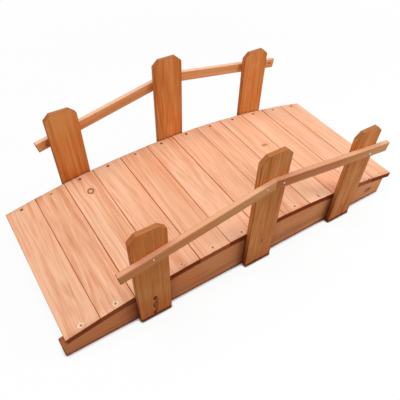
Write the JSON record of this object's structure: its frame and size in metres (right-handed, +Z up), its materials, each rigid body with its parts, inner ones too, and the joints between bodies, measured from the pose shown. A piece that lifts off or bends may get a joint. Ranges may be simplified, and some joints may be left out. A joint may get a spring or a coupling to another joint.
{
  "type": "garden footbridge",
  "caption": "Low arched wooden footbridge: cross-laid plank deck on two bow-topped beams, with clipped-corner board posts and sloping batten handrails.",
  "frame": {"origin": "on the ground under the middle of the bridge, halfway between its two sides", "axes": "+X along the walkway, +Y across it towards the far side, +Z up"},
  "size_m": [1.5198, 0.696, 0.527],
  "materials": {
    "deck_wood": "planed, pale salmon, clear oiled",
    "beam_wood": "sawn, reddish brown, clear oiled",
    "post_wood": "planed, reddish brown, clear oiled",
    "rail_wood": "planed, light reddish brown, clear oiled"
  },
  "bodies": {
    "root": {"beam_near": "beam_wood", "beam_far": "beam_wood", "plank_01": "deck_wood", "plank_02": "deck_wood", "plank_03": "deck_wood", "plank_04": "deck_wood", "plank_05": "deck_wood", "plank_06": "deck_wood", "plank_07": "deck_wood", "plank_08": "deck_wood", "plank_09": "deck_wood", "plank_10": "deck_wood", "plank_11": "deck_wood", "plank_12": "deck_wood", "post_near_left": "post_wood", "post_near_middle": "post_wood", "post_near_right": "post_wood", "post_far_left": "post_wood", "post_far_middle": "post_wood", "post_far_right": "post_wood", "rail_near_left": "rail_wood", "rail_near_right": "rail_wood", "rail_far_left": "rail_wood", "rail_far_right": "rail_wood"}
  },
  "joints": []
}
